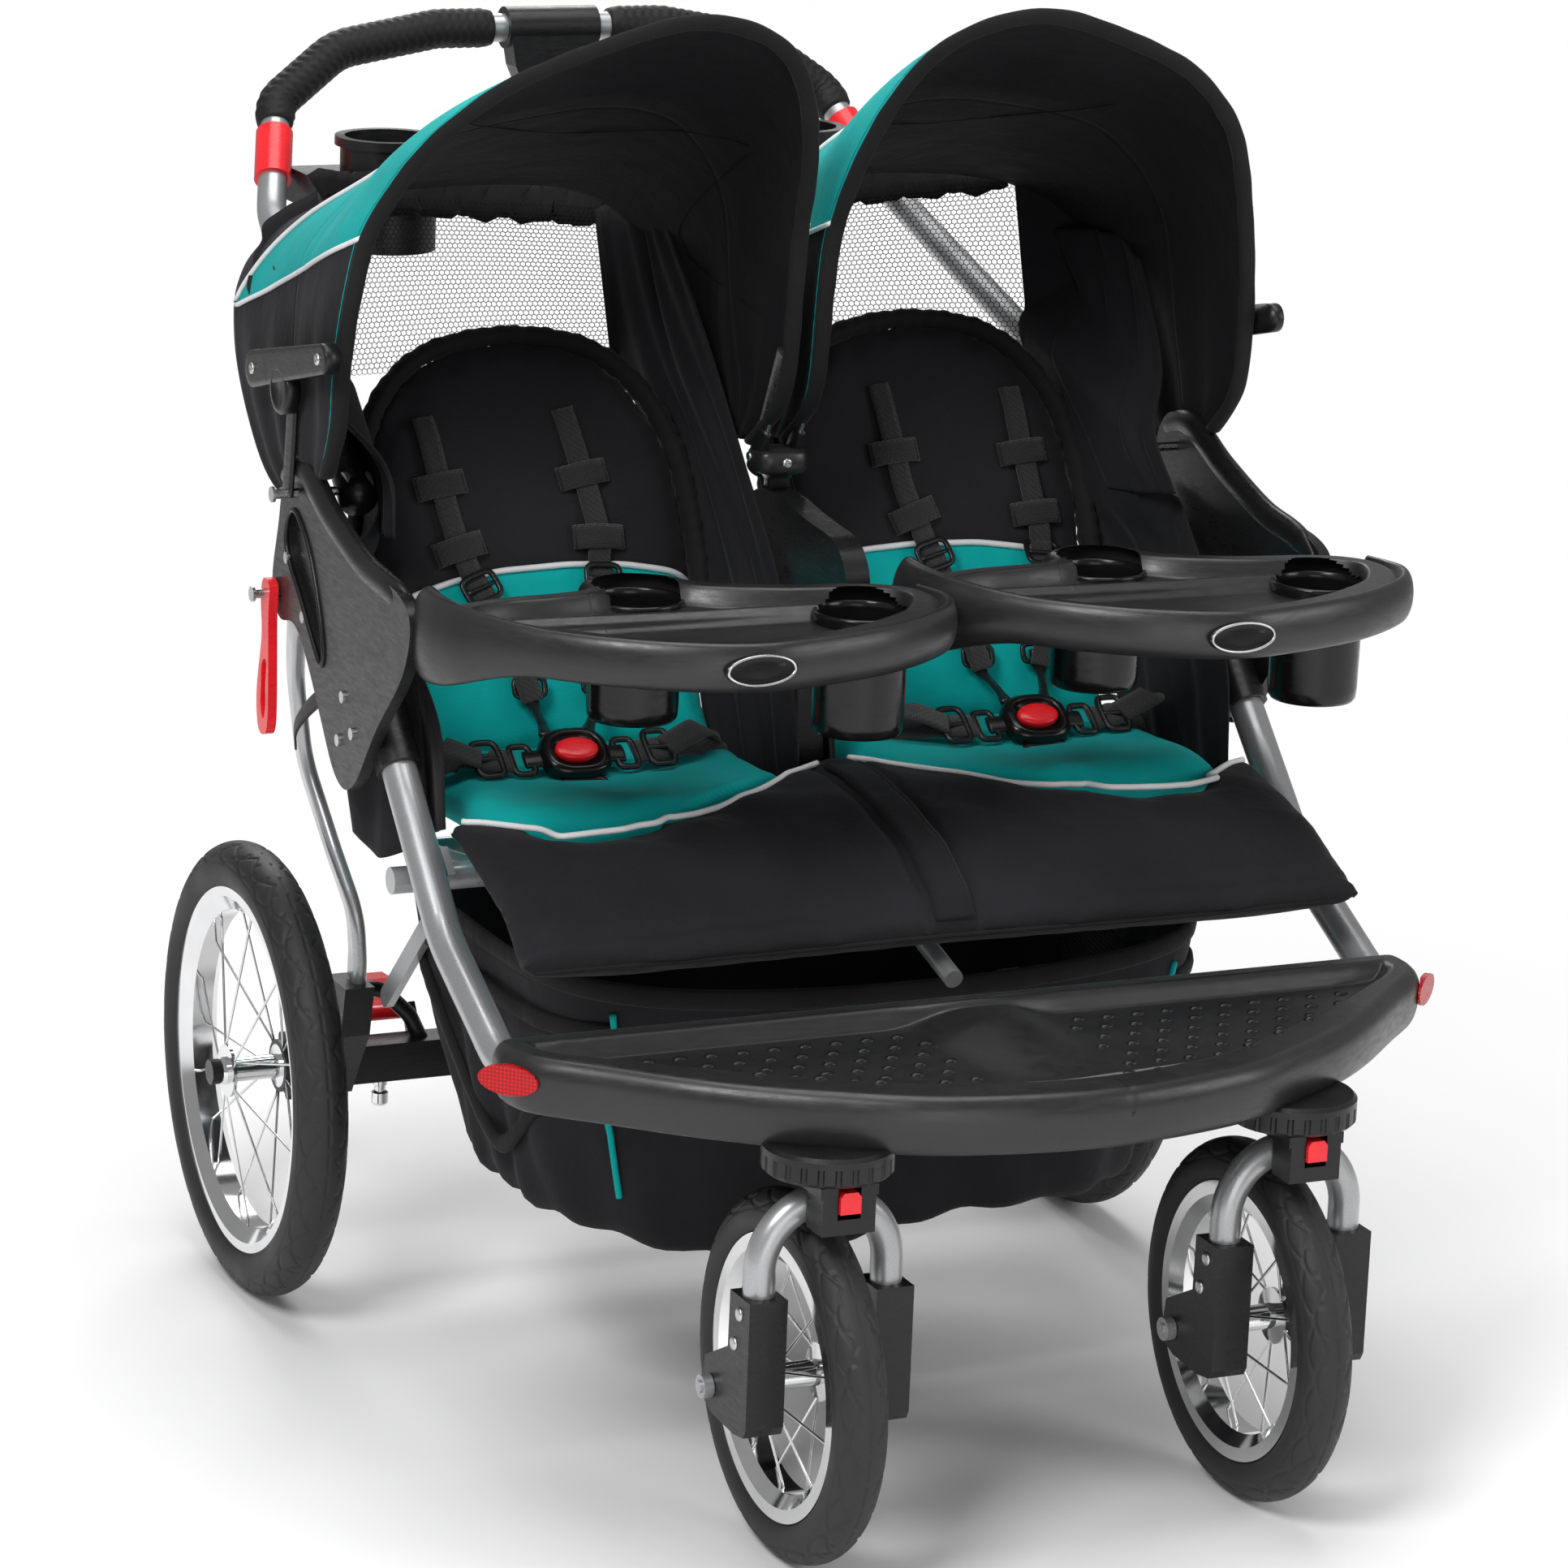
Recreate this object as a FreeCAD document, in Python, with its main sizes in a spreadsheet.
import FreeCAD, Part
import math
import os

import Sketcher

# Side-by-side two-seat jogging stroller, in millimetres.
# +Z is up, the front of the stroller faces -Y and "left" is the -X side.
# Shapes are built with Y = 0 at the rear axle and then moved by origin_shift, which puts
# the origin on the ground under the middle of the whole object.

Vector = FreeCAD.Vector
doc = FreeCAD.newDocument("twin_jogger")
sheet = doc.addObject("Spreadsheet::Sheet", "dims")

# alias, value (mm or degrees), meaning
DIMENSIONS = [
    ("origin_shift", 237.45, "moves everything along +Y"),
    ("rear_track", 396.0, "half distance between the rear wheels"),
    ("rear_radius", 198.0, "rear tyre outside radius"),
    ("tyre_section", 23.3, "tyre section radius, rear"),
    ("rear_seat", 158.0, "radius where the rear tyre sits on its rim"),
    ("rear_rim_bore", 139.0, "inside radius of the rear rim"),
    ("front_track", 200.0, "half distance between the caster axes"),
    ("caster_line", 758.0, "caster axes ahead of the rear axle"),
    ("front_radius", 147.0, "front tyre outside radius"),
    ("front_section", 21.5, "tyre section radius, front"),
    ("front_seat", 109.0, "radius where the front tyre sits on its rim"),
    ("front_rim_bore", 92.0, "inside radius of the front rim"),
    ("trail", 49.0, "caster trail"),
    ("rear_hub_half", 30.0, "half length of the rear hub"),
    ("front_hub_half", 30.0, "half length of the front hub"),
    ("hub_radius", 12.0, "hub barrel radius"),
    ("flange_radius", 23.0, "hub flange radius"),
    ("rear_axle_radius", 6.0, "rear axle rod"),
    ("front_axle_radius", 5.0, "front axle bolt"),
    ("run_clear", 0.05, "radial running clearance"),
    ("spoke_radius", 1.1, "spoke"),
    ("leg_tube", 14.5, "front frame tube radius"),
    ("leg_plane", 386.0, "front frame tube distance from the middle"),
    ("handle_tube_radius", 13.0, "handle tube radius"),
    ("grip_radius", 18.0, "foam grip radius"),
    ("collar_radius", 16.5, "red collar radius"),
    ("fork_tube_radius", 12.5, "fork tube radius"),
    ("fork_half", 53.0, "fork leg distance from the caster axis"),
    ("stem_radius", 8.0, "caster stem radius"),
    ("knob_fwd", 27.0, "back of the swivel lock knob ahead of the caster axis"),
    ("knob_up", 309.0, "underside of the swivel lock knob"),
    ("knob_deep", 18.0, "swivel lock knob depth"),
    ("swivel_radius", 51.0, "swivel housing radius"),
    ("swivel_low", 331.0, "swivel housing underside"),
    ("swivel_high", 354.0, "swivel housing top"),
    ("plate_in", 402.0, "inner face of the side plates"),
    ("plate_thick", 10.0, "side plate thickness"),
    ("plate_recess", 6.0, "depth of the oval recess in the side plates"),
    ("hinge_fwd", 135.0, "fold axis ahead of the rear axle"),
    ("hinge_up", 735.0, "fold axis height"),
    ("leg_hinge_fwd", 88.0, "rear leg axis ahead of the rear axle"),
    ("leg_hinge_up", 641.0, "rear leg axis height"),
    ("pin_radius", 4.0, "hinge pin radius"),
    ("deck_low", 358.0, "footrest underside"),
    ("deck_high", 397.0, "footrest rim top"),
    ("deck_recess", 11.0, "depth of the foot well"),
    ("deck_cavity", 24.0, "depth of the hollow under the footrest"),
    ("tray_low", 671.0, "tray underside"),
    ("tray_high", 700.0, "tray rim top"),
    ("tray_well", 20.0, "depth of the tray well"),
    ("tray_step", 416.0, "distance between the two trays"),
    ("button_left", 152.0, "tray button to the left of the tray's middle"),
    ("button_fwd", 414.0, "tray button ahead of the rear axle"),
    ("button_drop", 29.0, "underside of the tray button below the tray"),
    ("button_tall", 24.0, "tray button height"),
    ("cup_radius", 38.0, "cup holder outside radius"),
    ("cup_wall", 3.0, "cup holder wall"),
    ("cup_bottom", 588.0, "cup holder underside"),
    ("back_thick", 28.0, "seat back thickness"),
    ("back_out", 188.0, "middle of a seat back from the middle of the stroller"),
    ("back_bar_radius", 9.5, "radius of the bar along the seat back's foot"),
    ("back_bar_long", 240.0, "length of that bar"),
    ("recline", 24.0, "seat back angle from upright at rest"),
    ("seat_hinge_fwd", 165.0, "recline axis ahead of the rear axle"),
    ("seat_hinge_up", 495.0, "recline axis height"),
    ("bracket_wide", 22.0, "centre bracket width"),
    ("link_thick", 7.0, "brace link thickness"),
    ("lever_thick", 8.0, "fold lever thickness"),
    ("lever_gap", 1.5, "gap between side plate and fold lever"),
    ("wheel_pin_out", 279.0, "wheel release pin from the middle"),
    ("beam_half", 311.0, "half length of the axle beam"),
    ("beam_tall", 34.0, "axle beam height"),
    ("beam_deep", 32.0, "axle beam depth"),
    ("overall_half", 436.0, "half length of the rear axle rod"),
    ("fabric", 4.0, "canopy cloth thickness"),
]
for row, (alias, value, meaning) in enumerate(DIMENSIONS, start=1):
    sheet.set("A%d" % row, alias)
    sheet.set("B%d" % row, repr(value))
    sheet.set("C%d" % row, meaning)
    sheet.setAlias("B%d" % row, alias)
doc.recompute()


def dim(alias):
    return float(sheet.get(alias))


LEFT_RIGHT = (-1, 1)
SIDES = ((-1, "left"), (1, "right"))

CASTER_Y = -dim("caster_line")
FRONT_AXLE_Y = CASTER_Y + dim("trail")
FRONT_AXLE_Z = dim("front_radius")
REAR_AXLE_Z = dim("rear_radius")
HINGE_Y, HINGE_Z = -dim("hinge_fwd"), dim("hinge_up")
LEG_HINGE_Y, LEG_HINGE_Z = -dim("leg_hinge_fwd"), dim("leg_hinge_up")
PLATE_OUT = dim("plate_in") + dim("plate_thick")
RUN = dim("run_clear")
PIN_BORE = dim("pin_radius") + RUN
PIN_BORE_EXPR = "dims.pin_radius + dims.run_clear"
FIT = 0.02  # gap between fixed parts
SOCKET_GAP = 0.3  # gap around the front frame tube
CROSS_PIN = 3.0  # radius of the pedal, link and wheel release pins

PIECES = {}


# ------------------------------------------------------------------ document helpers
def keep(obj, name, base=("0", "0", "0"), roll=None):
    """Names a piece and binds its Placement to the sheet; roll turns it about X."""
    obj.Label = name
    if roll is not None:
        obj.Placement = FreeCAD.Placement(Vector(0, 0, 0), FreeCAD.Rotation(0, 0, roll))
    obj.setExpression("Placement.Base.x", base[0])
    obj.setExpression("Placement.Base.y", "dims.origin_shift + " + base[1])
    obj.setExpression("Placement.Base.z", base[2])
    PIECES[name] = obj
    return obj


def plain(name, shape):
    """A fixed shape in the document that is not a piece of its own."""
    obj = doc.addObject("Part::Feature", name)
    obj.Shape = shape
    return obj


def feature(name, shape, base=("0", "0", "0")):
    return keep(plain(name, solid_of(shape)), name, base)


def sided(side, expr):
    """An X expression, negated on the left."""
    return "-" + expr if side < 0 else expr


def new_body(name):
    return doc.addObject("PartDesign::Body", name)


def new_sketch(body, role, name, offset=None):
    """A sketch on an origin plane. Normals: XY is +Z, YZ is +X, XZ is -Y."""
    sketch = body.newObject("Sketcher::SketchObject", name)
    plane = [f for f in body.Origin.OriginFeatures if f.Role == role][0]
    sketch.AttachmentSupport = [(plane, "")]
    sketch.MapMode = "FlatFace"
    if offset is not None:
        sketch.setExpression("AttachmentOffset.Base.z", offset)
    return sketch


def draw_lines(sketch, points):
    points = [Vector(x, y, 0) for x, y in points]
    for start, end in zip(points, points[1:]):
        sketch.addGeometry(Part.LineSegment(start, end))


def draw_curve(sketch, points, closed=False):
    sketch.addGeometry(spline([(x, y, 0) for x, y in points], closed))


def draw_circle(sketch, x, y, expr):
    """A circle whose radius follows an expression."""
    start_radius = 5
    index = sketch.addGeometry(Part.Circle(Vector(x, y, 0), Vector(0, 0, 1), start_radius))
    number = sketch.addConstraint(Sketcher.Constraint("Radius", index, start_radius))
    sketch.setExpression("Constraints[%d]" % number, expr)


def pad(body, sketch, name, expr, symmetric=False):
    result = body.newObject("PartDesign::Pad", name)
    result.Profile = sketch
    if symmetric:
        result.SideType = "Symmetric"
    result.setExpression("Length", expr)


def pocket(body, sketch, name, expr=None, reverse=False):
    """Cuts against the sketch's normal, or along it when reversed; right through without expr."""
    result = body.newObject("PartDesign::Pocket", name)
    result.Profile = sketch
    result.Reversed = reverse
    if expr is None:
        result.Type = "ThroughAll"
    else:
        result.setExpression("Length", expr)


def revolve(body, sketch, name, axis):
    result = body.newObject("PartDesign::Revolution", name)
    result.Profile = sketch
    result.ReferenceAxis = (sketch, [axis])
    result.Angle = 360


# ------------------------------------------------------------------ shape helpers
def line(start, end):
    return Part.LineSegment(start, end).toShape()


def arc(start, middle, end):
    return Part.Arc(start, middle, end).toShape()


def spline(points, closed=False):
    result = Part.BSplineCurve()
    result.interpolate([Vector(*p) for p in points], PeriodicFlag=closed)
    return result


def rod(start, end, radius, extra=0.0):
    """A cylinder from start to end, lengthened past the end by extra."""
    return Part.makeCylinder(radius, (end - start).Length + extra, start, end - start)


def rod_x(x0, x1, y, z, radius):
    return Part.makeCylinder(radius, abs(x1 - x0), Vector(min(x0, x1), y, z), Vector(1, 0, 0))


def rod_z(x, y, z0, z1, radius):
    return Part.makeCylinder(radius, z1 - z0, Vector(x, y, z0), Vector(0, 0, 1))


def block(x0, x1, y0, y1, z0, z1):
    return Part.makeBox(abs(x1 - x0), y1 - y0, z1 - z0, Vector(min(x0, x1), y0, z0))


def flat_face(corners):
    corners = [Vector(*p) for p in corners]
    return Part.Face(Part.makePolygon(corners + corners[:1]))


def prism(corners, direction):
    return flat_face(corners).extrude(Vector(*direction))


def prism_x(outline, x0, x1):
    """A prism along X from points given as (y, z)."""
    return prism([(min(x0, x1), y, z) for y, z in outline], (abs(x1 - x0), 0, 0))


def turned_x(profile):
    """A solid turned about the X axis from points given as (x, radius)."""
    face = flat_face([(x, 0, z) for x, z in profile])
    return face.revolve(Vector(0, 0, 0), Vector(1, 0, 0), 360)


def on_side(points, side):
    """Takes points given for the left side to the side asked for."""
    return [(-side * x, y, z) for x, y, z in points]


def mirrored(half):
    """Adds the mirror image in X to a row of points; a last point on the middle is not doubled."""
    tail = half[:-1] if half[-1][0] == 0 else half
    return half + [(-p[0],) + p[1:] for p in reversed(tail)]


def between(start, end, share):
    return tuple(p + (q - p) * share for p, q in zip(start, end))


def path_start(wire):
    edge = wire.OrderedEdges[0]
    return edge.valueAt(edge.FirstParameter), edge.tangentAt(edge.FirstParameter)


def tube(edges, radius):
    """Sweeps a round section along a path."""
    wire = Part.Wire(edges)
    start, heading = path_start(wire)
    profile = Part.Wire([Part.Circle(start, heading, radius).toShape()])
    return wire.makePipeShell([profile], True, False)


def flat_tube(edges, thick, wide):
    """Sweeps a flat-sided oval, thick across X and wide the other way, along a path."""
    wire = Part.Wire(edges)
    start, heading = path_start(wire)
    long_way = heading.cross(Vector(1, 0, 0))
    long_way.normalize()
    across = long_way.cross(heading)
    across.normalize()
    half = thick / 2.0
    reach = wide / 2.0 - half
    a, b = start + long_way * reach, start - long_way * reach
    across, bulge = across * half, long_way * half
    profile = Part.Wire([
        line(b + across, a + across), arc(a + across, a + bulge, a - across),
        line(a - across, b - across), arc(b - across, b - bulge, b + across),
    ])
    return wire.makePipeShell([profile], True, False)


def bent(points, bend):
    """Straight runs joined by tangent bends, as edges; a bend shrinks to fit short runs."""
    points = [Vector(*p) for p in points]
    edges, last = [], points[0]
    for before, corner, after in zip(points, points[1:], points[2:]):
        incoming, outgoing = corner - before, after - corner
        length_in, length_out = incoming.Length, outgoing.Length
        incoming.normalize()
        outgoing.normalize()
        turn = math.acos(max(-1.0, min(1.0, incoming.dot(outgoing))))
        if turn < 1e-4:
            continue
        setback = min(bend * math.tan(turn / 2), 0.46 * length_in, 0.46 * length_out)
        radius = setback / math.tan(turn / 2)
        start, end = corner - incoming * setback, corner + outgoing * setback
        inward = outgoing - incoming
        inward.normalize()
        middle = corner + inward * (radius / math.cos(turn / 2) - radius)
        edges += [line(last, start), arc(start, middle, end)]
        last = end
    edges.append(line(last, points[-1]))
    return edges


def solid_of(shape):
    """The bare solid where the shape holds just one, else the shape itself."""
    return shape.Solids[0] if len(shape.Solids) == 1 else shape


def largest(shape):
    return max(shape.Solids, key=lambda solid: solid.Volume)


def compound(shapes):
    return Part.makeCompound([solid_of(shape) for shape in shapes])


# ------------------------------------------------------------------ wheels
SPOKES = 20
SPOKE_LEAN = 0.33  # radians between a spoke's foot and its rim end


def tyre(name, radius, section, seat, base):
    body = new_body(name)
    sketch = new_sketch(body, "XZ_Plane", name + "_section")
    centre = radius - section
    half_seat = math.sqrt(section**2 - (centre - seat) ** 2)
    start = math.atan2(seat - centre, half_seat)
    circle = Part.Circle(Vector(0, centre, 0), Vector(0, 0, 1), section)
    sketch.addGeometry(Part.ArcOfCircle(circle, start, math.pi - start))
    draw_lines(sketch, [(-half_seat, seat), (half_seat, seat)])
    revolve(body, sketch, name + "_turn", "H_Axis")
    keep(body, name, base)


def wheel(name, radius, section, seat, bore, hub_half, axle, base, disc_side=0):
    """Rim, hub, flanges and laced spokes of one wheel; disc_side puts a disc on a hub end."""
    seat -= FIT
    rim = turned_x(mirrored([
        (-14.0, seat), (-16.5, seat + 4.0), (-17.5, seat + 4.0), (-17.5, seat - 7.0), (-9.0, bore),
    ]))
    # the rim's flanges end where the tyre's section begins
    tyre_void = Part.makeTorus(radius - section, section + FIT, Vector(0, 0, 0), Vector(1, 0, 0))
    rim = rim.cut(tyre_void.cut(rod_x(-60, 60, 0, 0, seat)))

    barrel, flange = dim("hub_radius"), dim("flange_radius")
    hub = turned_x(mirrored([
        (-hub_half, 0), (-hub_half, barrel - 2), (-hub_half + 3, barrel), (-hub_half + 5, barrel),
        (-hub_half + 5, flange), (-hub_half + 8, flange), (-hub_half + 9.5, barrel - 1.5),
    ]))
    spokes = []
    for k in range(SPOKES):
        side = -1 if k % 2 else 1
        angle = 2 * math.pi * k / SPOKES
        foot_angle = angle + (SPOKE_LEAN if (k // 2) % 2 else -SPOKE_LEAN)
        foot, top = flange - 4, bore + 4
        start = Vector(
            side * (hub_half - 6.5), foot * math.cos(foot_angle), foot * math.sin(foot_angle)
        )
        end = Vector(side * 2.0, top * math.cos(angle), top * math.sin(angle))
        spokes.append(rod(start, end, dim("spoke_radius")))
    shape = rim.fuse([hub] + spokes)
    if disc_side:
        shape = shape.fuse(hub_disc(disc_side, hub_half))
    bore_half = hub_half + 20
    shape = shape.cut(rod_x(-bore_half, bore_half, 0, 0, axle + RUN))
    feature(name, shape, base)


def hub_disc(side, hub_half):
    """Disc on a hub's end face with eight bosses around its rim."""
    x, radius, bosses = side * hub_half, 27.0, 8
    disc = rod_x(x, x + side * 9.0, 0, 0, radius)
    for k in range(bosses):
        angle = 2 * math.pi * k / bosses
        y, z = radius * math.cos(angle), radius * math.sin(angle)
        disc = disc.fuse(rod_x(x + side * 1.0, x + side * 8.0, y, z, 5.0))
    return disc


def wheels(side, tag):
    # end, alias of the tyre section, Y expression, side of the hub disc
    ends = (
        ("rear", "tyre_section", "0", -side),
        ("front", "front_section", "dims.trail - dims.caster_line", 0),
    )
    for end, section_alias, y_expr, disc_side in ends:
        base = (sided(side, "dims.%s_track" % end), y_expr, "dims.%s_radius" % end)
        radius, section, seat = dim(end + "_radius"), dim(section_alias), dim(end + "_seat")
        tyre("%s_tyre_%s" % (end, tag), radius, section, seat, base)
        wheel(
            "%s_wheel_%s" % (end, tag), radius, section, seat, dim(end + "_rim_bore"),
            dim(end + "_hub_half"), dim(end + "_axle_radius"), base, disc_side,
        )


# ------------------------------------------------------------------ casters
FORK_FOOT_Z = 136
FORK_BEND_Z = 255.0  # where the fork's legs meet its half-round top
# (y, z) of the bracket at each fork leg's foot
FORK_BRACKET = [
    (CASTER_Y - 19, 236), (CASTER_Y + 18, 236), (CASTER_Y + 19, 190), (FRONT_AXLE_Y + 12, 168),
    (FRONT_AXLE_Y + 15, 150), (FRONT_AXLE_Y + 10, 131), (FRONT_AXLE_Y - 4, 126),
    (CASTER_Y + 4, 124), (CASTER_Y - 15, 127), (CASTER_Y - 19, 134),
]
# (x, z) of the knob
KNOB = [(-8.5, 0), (8.5, 0), (8.5, 13), (5.5, 17), (-5.5, 17), (-8.5, 13)]


def caster_fork(side, tag):
    """Arched fork with its stem, and the axle bolt with its two heads."""
    x = side * dim("front_track")
    half = dim("fork_half")
    left, right = x - half, x + half
    top = FORK_BEND_Z + half
    bend_left = Vector(left, CASTER_Y, FORK_BEND_Z)
    bend_right = Vector(right, CASTER_Y, FORK_BEND_Z)
    fork = tube([
        line(Vector(left, CASTER_Y, FORK_FOOT_Z), bend_left),
        arc(bend_left, Vector(x, CASTER_Y, top), bend_right),
        line(bend_right, Vector(right, CASTER_Y, FORK_FOOT_Z)),
    ], dim("fork_tube_radius"))
    fork = fork.fuse(rod_z(x, CASTER_Y, top, dim("swivel_high") - 2, dim("stem_radius")))
    axle = rod_x(x - 79, x + 79, FRONT_AXLE_Y, FRONT_AXLE_Z, dim("front_axle_radius"))
    for k in LEFT_RIGHT:
        axle = axle.fuse(rod_x(x + k * 69, x + k * 77, FRONT_AXLE_Y, FRONT_AXLE_Z, 9.5))
    feature("caster_fork_" + tag, compound([fork, axle]))


def fork_brackets(side, tag):
    """Bracket at each leg's foot, and the crown with a slot at its front."""
    x, y = side * dim("front_track"), CASTER_Y
    leg_radius, axle_bore = dim("fork_tube_radius"), dim("front_axle_radius") + FIT
    parts = []
    for k in LEFT_RIGHT:
        foot = prism_x(FORK_BRACKET, x + k * 37.0, x + k * 68.5)
        leg_x = x + k * dim("fork_half")
        foot = foot.cut(rod_z(leg_x, y, FORK_FOOT_Z - 0.5, 300, leg_radius + FIT))
        foot = foot.cut(rod_x(x + k * 30, x + k * 75, FRONT_AXLE_Y, FRONT_AXLE_Z, axle_bore))
        parts.append(foot)
    crown = block(x - 24, x + 24, y - 42, y + 20, 321.5, 330.3)
    crown = crown.fuse(block(x - 22, x + 22, y - 42, y - leg_radius - 1, 292, 322))
    crown = crown.cut(rod_z(x, y, 300, 340, dim("stem_radius") + FIT))
    crown = crown.cut(block(x - 9.5, x + 9.5, y - 50, y - 22, 304, 331))
    parts.append(crown)
    feature("fork_brackets_" + tag, compound(parts))


def swivel_lock(side, tag):
    """Red knob in the crown's front slot."""
    body = new_body("swivel_lock_" + tag)
    sketch = new_sketch(body, "XZ_Plane", "knob_" + tag)
    draw_lines(sketch, KNOB + KNOB[:1])
    pad(body, sketch, "knob_pad_" + tag, "dims.knob_deep")
    base = (sided(side, "dims.front_track"), "-dims.caster_line - dims.knob_fwd", "dims.knob_up")
    keep(body, "swivel_lock_" + tag, base)


def swivel_housings():
    """Grey chamfered discs under the front frame tube, fluted around their lower edge."""
    low, high, radius = dim("swivel_low"), dim("swivel_high"), dim("swivel_radius")
    flutes, flute_ring = 24, radius + 0.5
    parts = []
    for side in LEFT_RIGHT:
        x = side * dim("front_track")
        disc = rod_z(x, CASTER_Y, low, high, radius)
        rims = [e for e in disc.Edges if e.BoundBox.ZLength < 1e-6 and len(e.Vertexes) == 1]
        disc = disc.makeChamfer(3.0, rims)
        for k in range(flutes):
            angle = 2 * math.pi * k / flutes
            flute_x = x + flute_ring * math.cos(angle)
            flute_y = CASTER_Y + flute_ring * math.sin(angle)
            disc = disc.cut(rod_z(flute_x, flute_y, low - 1, low + 15, 2.6))
        # blind hole for the stem
        disc = disc.cut(rod_z(x, CASTER_Y, 300, high - 1.0, dim("stem_radius") + RUN))
        parts.append(disc)
    feature("swivel_housings", compound(parts))


# ------------------------------------------------------------------ front frame tube
TUBE_X = dim("leg_plane")
# (x, y, z) of the corners, from the left side plate to the middle of the front
FRONT_TUBE = [
    (-TUBE_X, -252, 611), (-TUBE_X, -430, 433), (-TUBE_X, -556, 372), (-TUBE_X + 3, -594, 369),
    (-242, -741, 369), (0, -764, 369),
]
front_path = bent(mirrored(FRONT_TUBE), 110.0)
front_void = tube(front_path, dim("leg_tube") + SOCKET_GAP)

# ------------------------------------------------------------------ footrest
DECK_HALF = 403.0
DECK_CORNER_Y = -590  # where the curved front meets the sides
DECK_DEPTH = 273.0
# (x, y) of the curved front edge, from the left corner to the middle
DECK_FRONT = mirrored([
    (-DECK_HALF, DECK_CORNER_Y), (-392, -622), (-352, -661), (-292, -714), (-205, -777),
    (-120, -818), (0, -836),
])


def deck_sketch(body, name, level, inset, back_half, back_y):
    """The deck's curved front, shrunk by inset, closed by short sides and a straight back."""
    sketch = new_sketch(body, "XY_Plane", name, level)
    shrink_x, shrink_y = 1 - inset / DECK_HALF, 1 - inset / DECK_DEPTH
    front = [
        (x * shrink_x, DECK_CORNER_Y + (y - DECK_CORNER_Y) * shrink_y) for x, y in DECK_FRONT
    ]
    draw_curve(sketch, front)
    draw_lines(sketch, [front[-1], (back_half, back_y), (-back_half, back_y), front[0]])
    return sketch


def footrest():
    """Deck with a foot well, hollow underneath and slotted for the front frame tube."""
    body = new_body("footrest")
    sketch = deck_sketch(body, "deck_outline", "dims.deck_low", 0, 401, -563)
    pad(body, sketch, "deck_pad", "dims.deck_high - dims.deck_low")
    sketch = deck_sketch(body, "deck_well", "dims.deck_high", 17, 380, -577)
    pocket(body, sketch, "deck_well_cut", "dims.deck_recess")
    sketch = deck_sketch(body, "deck_under", "dims.deck_low", 8, 392, -569)
    pocket(body, sketch, "deck_under_cut", "dims.deck_cavity", reverse=True)
    shell = doc.addObject("Part::Cut", "footrest_shell")
    shell.Base = body
    shell.Tool = plain("deck_slot", front_void)
    keep(shell, "footrest")
    body.Label = "footrest_blank"


def reflectors():
    """Oval discs against the footrest's two front corners."""
    deck = PIECES["footrest"].Shape.copy()
    deck.translate(Vector(0, -dim("origin_shift"), 0))
    stretch = FreeCAD.Matrix()
    stretch.scale(1.0, 2.1, 1.0)
    parts = []
    for side in LEFT_RIGHT:
        centre = Vector(side * 399.0, -609.0, 376)
        outward = Vector(side * 0.72, -0.69, 0)
        outward.normalize()
        disc = Part.makeCylinder(12.0, 5.0, centre + outward * 2.2, outward)
        # stretched sideways, square to its axis
        angle = math.degrees(math.atan2(outward.y, outward.x))
        to_origin, to_place = FreeCAD.Matrix(), FreeCAD.Matrix()
        to_origin.move(centre * -1)
        to_place.move(centre)
        turn = FreeCAD.Rotation(Vector(0, 0, 1), angle).toMatrix()
        turn_back = FreeCAD.Rotation(Vector(0, 0, 1), -angle).toMatrix()
        disc = disc.transformGeometry(to_place * turn * stretch * turn_back * to_origin)
        parts.append(largest(disc.cut(deck)))
    feature("reflectors", compound(parts))


# ------------------------------------------------------------------ side plates
# all as (y, z)
PLATE_OUTLINE = [
    (-92, 703), (-82, 672), (-80, 640), (-98, 622), (-125, 625), (-167, 600), (-194, 570),
    (-215, 545), (-239, 522), (-262, 516), (-284, 526), (-305, 549), (-332, 582), (-371, 620),
    (-398, 655), (-402, 690), (-375, 704), (-335, 706), (-300, 704), (-262, 716), (-215, 730),
    (-178, 745), (-150, 762), (-120, 762), (-102, 740),
]
PLATE_RECESS = [
    (-118, 712), (-112, 692), (-124, 672), (-150, 650), (-180, 622), (-200, 606), (-208, 612),
    (-204, 634), (-190, 664), (-172, 692), (-150, 712), (-132, 720),
]
RIVETS = [(-117, 677), (-159, 636), (-257, 592), (-248, 554), (-280, 567)]


def tube_boot(side):
    """Moulded boot that holds the top of the front frame tube."""
    top, foot = Vector(side * TUBE_X, -246, 617), Vector(side * TUBE_X, -318, 545)
    length = (foot - top).Length
    boot = rod(top, foot, dim("leg_tube") + 4.5)
    bore_start = top + (foot - top) * 0.06
    boot = boot.cut(
        Part.makeCylinder(dim("leg_tube") + SOCKET_GAP, length + 20, bore_start, foot - top)
    )
    inner, outer = side * 360, side * (dim("plate_in") + 1)
    return largest(boot.common(block(inner, outer, -372, -200, 480, 640)))


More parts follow.
